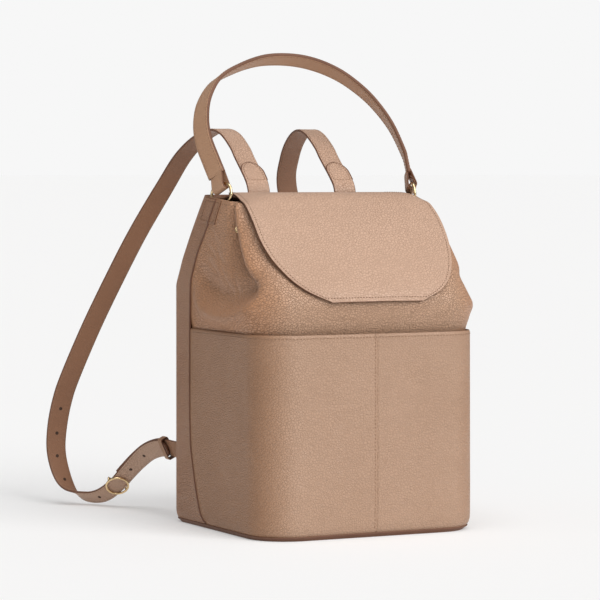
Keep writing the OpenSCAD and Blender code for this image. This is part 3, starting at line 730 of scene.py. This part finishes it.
def innerLining():
    # the body's shape moved in, closed by a floor, and two leather bands inside the mouth
    z = np.concatenate([[5.2], np.linspace(8, 284, 60)])[:, None]
    s = bothWays(np.linspace(0, 5, 120))[None, :]
    inset = np.interp(z, [0, 226, 262, 320], [7, 7, 4.6, 4.4])
    extra = np.interp(z, [0, 160, 184, 214, 240], [2.5, 2.5, 4.2, 4.2, 0.6])
    pts = bodyPoint(s, z, inset, extra, puff=0.0)
    pts = np.concatenate([pts[:1] * np.array([0.02, 0.02, 1]), pts])
    obj = sheetPiece("inner_lining", pts, [cotton, cotton], 0.9, insideMiddle)
    finishPiece(obj, "bag", "lining_cotton", "lining")
    rows = np.linspace(283, 307.5, 10)[:, None]
    back = np.linspace(2.78, 5.0, 80)
    for name, run in (("back", np.concatenate([back, -back[-2::-1]])),
                      ("front", np.linspace(-2.03, 2.03, 120))):
        p = bodyPoint(run[None, :], rows, np.interp(rows, [283, 308], [3.9, 2.9]), puff=0.0)
        obj = sheetPiece(f"rim_band_{name}", p, [shadedInnerLeather, edgePaint], 0.9, insideMiddle)
        finishPiece(obj, "bag", "leather", "rim_facing")


def laptopSleeve():
    # a shallow pocket on the back wall: x by a near-straight power, y bowed, its top edge dipped
    low, high = (v / mm for v in map(np.array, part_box("laptop_sleeve")))
    k = np.linspace(-1, 1, 90)[None, :]
    v = np.linspace(0, 1, 50)[:, None]
    x = (high[0] - low[0]) / 2 * (np.abs(k) ** 0.9) * np.sign(k) + 0 * v
    y = (low[1] + 0.8 + (high[1] - low[1] - 1.6) * np.abs(k) ** 14
         + 1.6 * np.sin(v * np.pi) * (1 - k ** 2) * 0.6)
    z = low[2] + (high[2] - low[2]) * v - 1.8 * (1 - k ** 2) * step01((v - 0.8) / 0.2)
    obj = sheetPiece("laptop_sleeve_panel", np.stack([x, y, z], axis=-1), [cotton, shadedInnerLeather], 1.2,
                     (0, 95, 100))
    finishPiece(obj, "bag", "lining_cotton", "laptop_sleeve")


frontBody()
backBody()
slipPocket()
sideSeams()
baseCord()
rimStitching()
sidePatches()
innerLining()
laptopSleeve()
print("body ready")

flap = {"rows": 110, "cols": 90, "droop": 5.5, "crown": 1.6, "stitchIn": 3.2,
        "bendFrom": (0, -0.004, 0.3172), "bendTo": (0, -0.024, 0.312)}
flapCurve = smoothLine(flapLine, 24)


def flapPoint(u, v, depth=0.0, trim=0.0):
    # v 0-1 from the hinge to the straight edge, u -1..1 from side to side; the line's point plus
    # its normal times a low crown and ripple, less the droop of the sides
    n = len(flapCurve) - 1
    at = np.clip(v, 0, 1) * n

    def look(place, column):
        return np.interp(place, np.arange(n + 1), flapCurve[:, column])

    y, z, w = (look(at, k) for k in range(3))
    after, before = np.minimum(at + 3, n), np.maximum(at - 3, 0)
    ty, tz = (look(after, k) - look(before, k) for k in range(2))
    length = np.hypot(ty, tz)
    ny, nz = tz / length, -ty / length
    edge = np.abs(u)
    drop = flap["droop"] * edge ** 7 * bell(v - 0.27, 0.10) + edge ** 4 * step01((v - 0.3) / 0.3)
    lift = flap["crown"] * (1 - edge ** 2) * np.sin(np.clip((v - 0.25) / 0.75, 0, 1) * np.pi) * 0.5
    ripple = 0.35 * np.sin(u * 5.0 + v * 7.0) * np.sin(v * 9.0 - u * 2.0) * step01((v - 0.1) / 0.2)
    off = lift + ripple * (1 - edge ** 6) - drop - depth
    return np.stack([u * (w - trim), y + ny * off, z + nz * off], axis=-1)


def bendPiece(obj, slotName, *nodes):
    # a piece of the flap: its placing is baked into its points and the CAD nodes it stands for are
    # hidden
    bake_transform(obj)
    if nodes:
        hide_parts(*nodes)


def flapPiece():
    # rows closer together at the hinge's end, columns closer at the sides
    v = (1 - (1 - np.linspace(0, 1, flap["rows"])) ** 1.35)[:, None]
    u = np.sin(np.linspace(-1, 1, flap["cols"]) * np.pi / 2)[None, :]
    obj = sheetPiece("flap_leather", flapPoint(u + 0 * v, v + 0 * u), [tanPaintedSheen, edgePaint],
                     bag["flapThick"], insideMiddle)
    bendPiece(obj, "leather", "flap_top", "flap_front")
    inner = flapPoint(u + 0 * v, 0.015 + v * 0.965 + 0 * u, 2.1, 3.0)
    under = sheetPiece("flap_suede", inner, [suede, suede], 0.7, insideMiddle)
    bendPiece(under, "flap_suede", "flap_lining")
    t = np.linspace(0.02, 0.962, 1200)
    w = np.interp(t * (len(flapCurve) - 1), np.arange(len(flapCurve)), flapCurve[:, 2])
    down = 1 - flap["stitchIn"] / w
    left = np.stack([-down, t], axis=1)
    across = np.stack([np.linspace(-down[-1], down[-1], 400), np.full(400, t[-1])], axis=1)
    line = np.vstack([left, across, left[::-1] * [-1, 1]])
    p, n = onSurface(flapPoint, line[:, 0], line[:, 1], 0.1)
    bendPiece(stitches("flap_stitch", p, n, threadDark, 3.0, (1.9, 0.75, 0.35)), "leather")


flapPiece()
print("flap ready")

handle = {"width": 20.0, "thick": 3.6, "lean": 28.0, "ringY": 12.5, "ringZ": 306.0, "ringX": 102.0,
          "rise": 19.0, "span": 27.0, "yaw": 17.0, "ringLean": 15.0, "wire": 1.4, "stitchIn": 2.2}
handleLine = np.array([
    [-103.2, 10], [-106, 26], [-109, 48], [-106.5, 70], [-98, 92], [-81, 113], [-55, 127],
    [-29, 135.5], [-4, 137.5], [19, 135], [41, 127.5], [61, 115], [81, 94], [96, 66],
    [103, 36], [103.5, 24], [102.8, 10]])
barY = handle["ringY"] + handle["rise"] * np.sin(np.radians(handle["ringLean"]))
barZ = handle["ringZ"] + handle["rise"] * np.cos(np.radians(handle["ringLean"]))


def leanBack(p, degrees, origin=(0, 0, 0)):
    # turned about x so that what stands up leans to the rear, then moved to origin
    a = np.radians(degrees)
    y, z = p[..., 1], p[..., 2]
    return np.stack([p[..., 0], y * np.cos(a) + z * np.sin(a), -y * np.sin(a) + z * np.cos(a)],
                    axis=-1) + np.asarray(origin)


def spin(p, degrees):
    # turned about z
    a = np.radians(degrees)
    return np.stack([p[..., 0] * np.cos(a) - p[..., 1] * np.sin(a),
                     p[..., 0] * np.sin(a) + p[..., 1] * np.cos(a), p[..., 2]], axis=-1)


def roundedLoop(half, high, power, count):
    # rounded rectangle in a plane: cos and sin to a power below 1, even steps of angle
    a = np.linspace(0, 2 * np.pi, count, endpoint=False)
    c, s = np.cos(a), np.sin(a)
    return np.stack([half * np.sign(c) * np.abs(c) ** power,
                     high * np.sign(s) * np.abs(s) ** power], axis=1)


def upright(flat):
    # an outline of (x, z) stood up at y = 0
    return np.stack([flat[:, 0], 0 * flat[:, 0], flat[:, 1]], axis=1)


def topHandle():
    # a strap along the leaning handle line, turned from facing one side to facing the other, with
    # a row of stitches near each edge and a folded drop-shaped end round each ring
    line = smoothLine(upright(handleLine), 14)
    k = np.linspace(0, 1, len(line))
    hints = np.stack([-0.5 * np.cos(np.pi * k), np.full_like(k, 1.0), 0 * k], axis=1)
    path = leanBack(line, handle["lean"], (0, barY, barZ))
    hints = leanBack(hints, handle["lean"])
    obj = sweep("handle_strap", path, hints, handle["width"], handle["thick"],
                [tanStrap, edgePaint])
    finishPiece(obj, "handle", "leather", "top_handle")
    ahead, across, normal = frames(path, hints)
    for side, place in ((-1, "front"), (1, "rear")):
        for face, word in ((-1, "in"), (1, "out")):
            row = (path + across * side * (handle["width"] / 2 - handle["stitchIn"])
                   + normal * face * (handle["thick"] / 2 + 0.05))
            finishPiece(stitches(f"handle_stitch_{word}_{place}", row, normal * face, thread),
                        "handle", "leather")
    a = np.linspace(np.pi * 1.02, np.pi * 1.98, 26)
    low = np.stack([4.1 * np.cos(a), -2.4 + 4.1 * np.sin(a)], axis=1)
    leg = np.stack([np.linspace(4.1, 1.5, 12), np.linspace(-1.6, 13.5, 12)], axis=1)
    drop = upright(np.vstack([low, leg, leg[::-1] * [-1, 1]]))
    for side, tag in bothSides:
        loop = spin(drop, -side * handle["yaw"]) + np.array([side * handle["ringX"], 0, 0])
        wide = spin(np.tile([[0.0, 1.0, 0.0]], (len(loop), 1)), -side * handle["yaw"])
        loop = leanBack(loop, handle["lean"], (0, barY, barZ))
        obj = sweep(f"handle_fold_{tag}", loop, leanBack(wide, handle["lean"]),
                    handle["width"] - 3.5, 1.4, [tanStrap, edgePaint], closed=True)
        finishPiece(obj, "handle", "leather", f"handle_loop_{tag}")


def rings():
    # a squarish wire ring (cos and sin to the power 0.72) and the folded tab that holds it
    high = handle["rise"] / 2
    wire = upright(roundedLoop(handle["span"] / 2, high, 0.72, 96)) + [0, 0, high]
    a = np.linspace(np.pi * 0.02, np.pi * 0.98, 20)
    leg = np.stack([np.linspace(-2.7, -1.0, 10), np.linspace(-1, -13, 10)], axis=1)
    fold = upright(np.vstack([np.stack([2.7 * np.cos(a), 2.7 * np.sin(a)], axis=1), leg,
                              leg[::-1] * [-1, 1]]))
    for side, tag in bothSides:
        place = np.array([side * handle["ringX"], handle["ringY"], handle["ringZ"]])
        p = leanBack(spin(wire, side * (90 - handle["yaw"])), handle["ringLean"], place)
        obj = tube(f"wire_ring_{tag}", p, handle["wire"], gold, 18)
        finishPiece(obj, f"ring_{tag}", "brass", f"handle_ring_{tag}")
        yaw = -side * handle["yaw"]
        wide = spin(np.tile([[0.0, 1.0, 0.0]], (len(fold), 1)), yaw)
        loop = spin(fold, yaw) + place - [side * 0.4, 0, 0]
        obj = sweep(f"ring_holder_{tag}", loop, wide, 8.0, 1.1, [tan, edgePaint], closed=True)
        finishPiece(obj, "bag", "leather", f"ring_tab_{tag}")


def snaps():
    # a domed cap on a short post, set down in the fold
    profile = [(0.01, 0.2), (1.2, 0.2), (1.2, 2.2), (3.3, 2.3), (3.5, 2.7), (3.3, 3.2),
               (2.5, 3.45), (2.2, 3.2), (1.2, 3.35), (0.01, 3.4)]
    for side, tag in bothSides:
        low, high = (np.array(v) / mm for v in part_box(f"gusset_snap_{tag}"))
        centre = (low + high) / 2
        base = low[0] if side > 0 else high[0]
        place = (base - side * 3.0, centre[1] - 10.5, centre[2] + 0.5)
        obj = lathe(f"pleat_snap_{tag}", profile, place, (side, -0.2, 0), gold, 36)
        finishPiece(obj, "bag", "brass", f"gusset_snap_{tag}")


topHandle()
rings()
snaps()
print("handle ready")

strap = {"width": 21.5, "tail": 19.0, "thick": 2.4, "buckleAt": 24.0, "keeperAt": 28.67,
         "holes": (16.33, 17.33, 18.33, 19.67, 22.67, 25.33, 26.67), "hole": 1.45, "steps": 12,
         "stitchIn": 2.3, "tongueFrom": 0.79, "tongueEnd": 4.667, "anchorTilt": 17.0}
strapLine = np.array([
    [-46.5, 66.8, 289], [-46.5, 58.3, 302], [-46.5, 51.3, 313], [-46.5, 52.3, 321.5],
    [-46.2, 60, 331], [-46, 81.5, 350], [-46.2, 93, 361], [-47, 114, 374], [-50, 136, 377.5],
    [-56, 162, 369], [-63, 188, 351], [-71, 212, 323], [-92, 234, 275], [-112, 251, 226],
    [-131, 265, 178], [-149, 276, 129], [-156, 280, 105], [-160.5, 282, 80], [-162.5, 281, 56],
    [-160, 277, 35.5], [-155, 271, 20.5], [-147, 263, 11.5], [-136, 253, 8], [-128, 238, 12],
    [-120, 223, 23.5], [-114, 211, 36], [-109, 197, 48], [-105.5, 179, 58.5], [-103.5, 157, 64.5],
    [-102.5, 139, 65]])
strapHints = np.array([[1, 0, 0]] * 15 + [
    [1, 0, -0.05], [1, 0, -0.1], [1, 0, -0.15], [1, 0, -0.2], [1, 0, -0.3], [0.95, 0.05, -0.4],
    [0.85, 0.1, -0.5], [0.78, 0.18, -0.58], [0.72, 0.25, -0.64], [0.68, 0.3, -0.67],
    [0.66, 0.3, -0.7], [0.62, 0.28, -0.74], [0.55, 0.2, -0.8], [0.48, 0.1, -0.87], [0.42, 0, -0.9]])
rightSway = 7.0                                # the right strap hangs this much nearer the middle


def strapPath(side):
    # the strap's line and its width's direction; the left one mirrored, the right one swayed
    p = smoothLine(strapLine, strap["steps"]) * [-side, 1, 1]
    h = smoothLine(strapHints, strap["steps"]) * [-side, 1, 1]
    if side > 0:
        at = np.arange(len(p)) / strap["steps"]
        p[:, 0] -= rightSway * bell(at - 10.2, 2.4)
        h = -h
    return p, h


def strapRun(side, start, end):
    # the part of it between two places on the line
    p, h = strapPath(side)
    i = slice(int(round(start * strap["steps"])), int(round(end * strap["steps"])) + 1)
    return p[i], h[i]


def strapFrame(side, at):
    # place, across, along and the way out of the buckle's face
    p, h = strapPath(side)
    i = int(round(at * strap["steps"]))
    ahead, across, normal = frames(p, h)
    return p[i], across[i], ahead[i], -normal[i]


def inFrame(local, place, across, along, out):
    # local (x, y, z) laid along the three directions from place
    return place + local[..., :1] * across + local[..., 1:2] * along + local[..., 2:] * out


def shoulderStrap(side, tag):
    # the strap narrows to its holed tail, whose end is rounded by a square root
    last = len(strapLine) - 1
    p, h = strapRun(side, 0, last)
    at = np.arange(len(p)) / strap["steps"]
    end = np.clip((at - (last - 0.62)) / 0.62, 0, 1)
    w = ((strap["width"] + (strap["tail"] - strap["width"]) * np.clip((at - 17) / 4, 0, 1))
         * np.sqrt(np.clip(1 - end ** 2 * 0.93, 0.05, 1)))
    obj = sweep(f"strap_{tag}", p, h, w, strap["thick"], [tanPaintedSheen, edgePaint, shadedInnerLeather])
    finishPiece(obj, "bag", "leather", f"shoulder_strap_{tag}")
    ahead, across, normal = frames(p, h)
    run = slice(2 * strap["steps"], (last - 1) * strap["steps"])
    for edge, mark in ((-1, "a"), (1, "b")):
        off = (w / 2 - strap["stitchIn"])[:, None] * edge
        for face, word in ((-1, "under"), (1, "over")):
            row = (p + across * off + normal * face * (strap["thick"] / 2 + 0.03))[run]
            finishPiece(stitches(f"strap_stitch_{tag}_{word}_{mark}", row, (normal * face)[run],
                                 thread, 3.6, (2.0, 0.55, 0.3)), "bag", "leather")
    r = strap["hole"]
    profile = [(0.01, -0.2), (r + 0.3, -0.2), (r + 0.25, 0.1), (r, 0.16), (r * 0.85, 0.10),
               (0.01, 0.10)]
    # painted shade: each hole is a near-black disc on both faces of the strap, not an opening
    for k, place in enumerate(strap["holes"]):
        centre, _, _, out = strapFrame(side, place)
        for face, word in ((-1, "out"), (1, "in")):
            obj = lathe(f"hole_{tag}_{k}_{word}", profile, centre + out * face * strap["thick"] / 2,
                        out * face, holeShade, 18)
            finishPiece(obj, "bag", "leather")


def strapTabs(side, tag):
    # a leather layer under the strap's root, and over it one with a rounded tongue, sewn round
    shift = strap["thick"] / 2 + 0.85
    p, h = strapRun(side, 0, 2)
    obj = sweep(f"strap_base_{tag}", p, h, strap["width"] + 2, 1.5, [tan, edgePaint], shift=shift)
    finishPiece(obj, "bag", "leather")
    p, h = strapRun(side, 0, strap["tongueEnd"])
    at = np.arange(len(p))
    tip = np.clip((at / (len(p) - 1) - 0.90) / 0.10, 0, 1)
    w = (strap["width"] + 2) * np.sqrt(np.clip(1 - tip ** 2, 0.02, 1))
    obj = sweep(f"strap_tongue_{tag}", p, h, w, 1.5, [tanPaintedSheen, edgePaint], shift=-shift)
    finishPiece(obj, "bag", "leather", f"strap_tab_{tag}")
    _, across, normal = frames(p, h)
    arch = np.linspace(0, 1, 200)
    row = (arch * (1 - strap["tongueFrom"]) + strap["tongueFrom"]) * (len(p) - 1)
    row = np.clip(row, 0, len(p) - 1)
    base, side1, up = (alongRun(row, at, v) for v in (p - normal * (shift + 0.78), across, -normal))
    half = np.interp(row, at, w)[:, None] / 2
    inner = np.maximum(half - 2.6, 0)
    ok = inner[:, 0] > 0.5
    left, right = (base - side1 * inner)[ok], (base + side1 * inner)[ok][::-1]
    finishPiece(stitches(f"tongue_stitch_{tag}", np.vstack([left, right]),
                         np.vstack([up[ok], up[ok][::-1]]), threadDark, 3.0), "bag", "leather")
    outline = (np.vstack([base - side1 * half, (base + side1 * half)[::-1]])
               - np.vstack([up, up[::-1]]) * 0.2)
    finishPiece(tube(f"tongue_edge_{tag}", outline, 0.4, edgePaint, 8, False), "bag", "leather")
    cross = left[:1] * (1 - arch[:, None]) + right[-1:] * arch[:, None]
    finishPiece(stitches(f"tongue_bar_{tag}", cross, np.tile(up[:1], (len(cross), 1)), thread, 3.0),
                "bag", "leather")


def lowerStrap(side, tag):
    # under the tail from the buckle to the corner, where a folded anchor on the back takes it
    mirror = np.array([-side, 1, 1])
    p, h = strapRun(side, strap["buckleAt"] + 8 / 12, len(strapLine) - 1)
    extra = np.array([[-101.5, 126, 64.5], [-101, 114, 64]]) * mirror
    more = np.array([[0.38, 0, -0.92], [0.34, 0, -0.94]]) * mirror * -side
    p = np.vstack([p, smoothLine(np.vstack([p[-1:], extra]), 8)[1:]])
    h = np.vstack([h, smoothLine(np.vstack([h[-1:], more]), 8)[1:]])
    obj = sweep(f"lower_strap_{tag}_leather", p, h, strap["tail"], 1.8, [tanShadedSides, edgePaint],
                shift=strap["thick"] / 2 + 1.9)
    finishPiece(obj, "bag", "leather_shadow", f"lower_strap_{tag}")
    a = np.linspace(-np.pi / 2, np.pi / 2, 20)
    arc = np.stack([3.0 * np.sin(a), 109 + 3.0 * np.cos(a)], axis=1)
    legs = np.stack([np.full(8, -3.0), np.linspace(99.3, 108.5, 8)], axis=1)
    u = np.vstack([legs, arc, legs[::-1] * [-1, 1]])
    tilt = np.radians(strap["anchorTilt"])
    loop = np.stack([u[:, 0] * np.cos(tilt) - 97.6, u[:, 1], u[:, 0] * np.sin(tilt) + 64.5],
                    axis=1) * mirror
    wide = np.tile(np.array([[-np.sin(tilt), 0, np.cos(tilt)]]) * mirror, (len(loop), 1))
    obj = sweep(f"lower_anchor_{tag}", loop, wide, strap["tail"], 1.6, [tanShadedSides, edgePaint])
    finishPiece(obj, "bag", "leather", f"lower_tab_{tag}")


def buckleAndKeeper(side, tag):
    # a wire ring over the strap, its bar under the strap, and a leather loop round both straps
    frameAt = strapFrame(side, strap["buckleAt"])
    r, lift = strap["tail"] / 2 + 1.4, strap["thick"] / 2 + 0.3 + 1.1
    a = np.linspace(0, 2 * np.pi, 96, endpoint=False)
    ring = np.stack([r * np.cos(a), r * np.sin(a), np.full_like(a, lift)], axis=1)
    obj = tube(f"round_buckle_{tag}", inFrame(ring, *frameAt), 1.1, gold, 16)
    finishPiece(obj, "bag", "brass", f"buckle_{tag}")
    t = np.linspace(0, 1, 10)
    down, up = (upright(np.stack([np.full(10, -r * k), k * (lift - t * 2 * lift)], axis=1))
                for k in (1, -1))
    bottom = upright(np.stack([-r + 2 * r * np.linspace(0, 1, 24), np.full(24, -lift)], axis=1))
    bar = np.vstack([down, bottom[1:], up[1:]])
    obj = tube(f"buckle_bar_{tag}", inFrame(bar, *frameAt), 0.95, gold, 12, False)
    finishPiece(obj, "bag", "brass")
    frameAt = strapFrame(side, strap["keeperAt"])
    loop = upright(roundedLoop(strap["tail"] / 2 + 1.5, 3.9, 0.3, 72)) - [0, 0, 1.7]
    path = inFrame(loop, *frameAt)
    obj = sweep(f"keeper_{tag}", path, np.tile(frameAt[2][None], (len(path), 1)), 8.0, 1.2,
                [tan, edgePaint], closed=True)
    finishPiece(obj, f"keeper_{tag}", "leather_shadow", f"strap_keeper_{tag}")


for side, tag in bothSides:
    shoulderStrap(side, tag)
    strapTabs(side, tag)
    lowerStrap(side, tag)
    buckleAndKeeper(side, tag)
print("straps ready")


def dressNodes():
    # the CAD nodes that are seen as they are
    finish = {"base_panel": edgePaint, "base_board": boardCloth, "back_padding": boardCloth,
              "body_magnet": gold, "flap_magnet": gold}
    for name, mat in finish.items():
        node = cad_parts[name]
        if not node.data.materials:
            node.data.materials.append(mat)
        for place in node.material_slots:
            place.material = mat


dressNodes()

light = {"key": {"power": 2.1, "angle": 45.0, "place": (0.25, -0.80, 0.55)},
         "top": {"power": 1.3, "angle": 40.0, "place": (-0.06, -0.20, 0.97)},
         "sky": 0.27, "backdrop": 0.93, "floor": 0.62, "floorGlow": 0.288,
         "floorSize": 400000}


def makeFloor():
    # a wide pale floor that glows a little, so that it meets the backdrop
    mat, tree, bsdf, _ = newMaterial("paleFloor")
    setInputs(tree, bsdf, {"Base Color": (light["floor"],) * 3 + (1,), "Roughness": 0.9,
                           "Specular IOR Level": 0.1, "Emission Color": (1, 1, 1, 1),
                           "Emission Strength": light["floorGlow"]})
    size = light["floorSize"]
    pts = [[-size, -size, 0], [size, -size, 0], [size, size, 0], [-size, size, 0]]
    addMesh("floor", pts, [[0, 1, 2, 3]], [mat], smooth=False)


def makeLight():
    # two broad suns, an even sky, and a plain pale backdrop for what the camera sees
    for name in ("key", "top"):
        lamp = bpy.data.lights.new(name, "SUN")
        lamp.energy, lamp.angle = light[name]["power"], np.radians(light[name]["angle"])
        lamp.color = (1.0, 0.995, 0.99)
        obj = bpy.data.objects.new(name, lamp)
        obj.rotation_euler = Vector(light[name]["place"]).to_track_quat("Z", "Y").to_euler()
        scene.collection.objects.link(obj)
    world = bpy.data.worlds.new("studio")
    scene.world = world
    world.use_nodes = True
    tree = world.node_tree
    tree.nodes.clear()
    sky = addNode(tree, "Background", {"Strength": light["sky"], "Color": (1.0, 1.0, 1.0, 1)})
    back = addNode(tree, "Background", {"Color": (light["backdrop"],) * 3 + (1,)})
    path = addNode(tree, "LightPath", {})
    mix = addNode(tree, "MixShader", {"Fac": path.outputs["Is Camera Ray"], 1: sky.outputs[0],
                                      2: back.outputs[0]})
    addNode(tree, "OutputWorld", {"Surface": mix.outputs[0]})
    scene.view_settings.view_transform = "Standard"


makeFloor()
makeLight()
print("light ready")
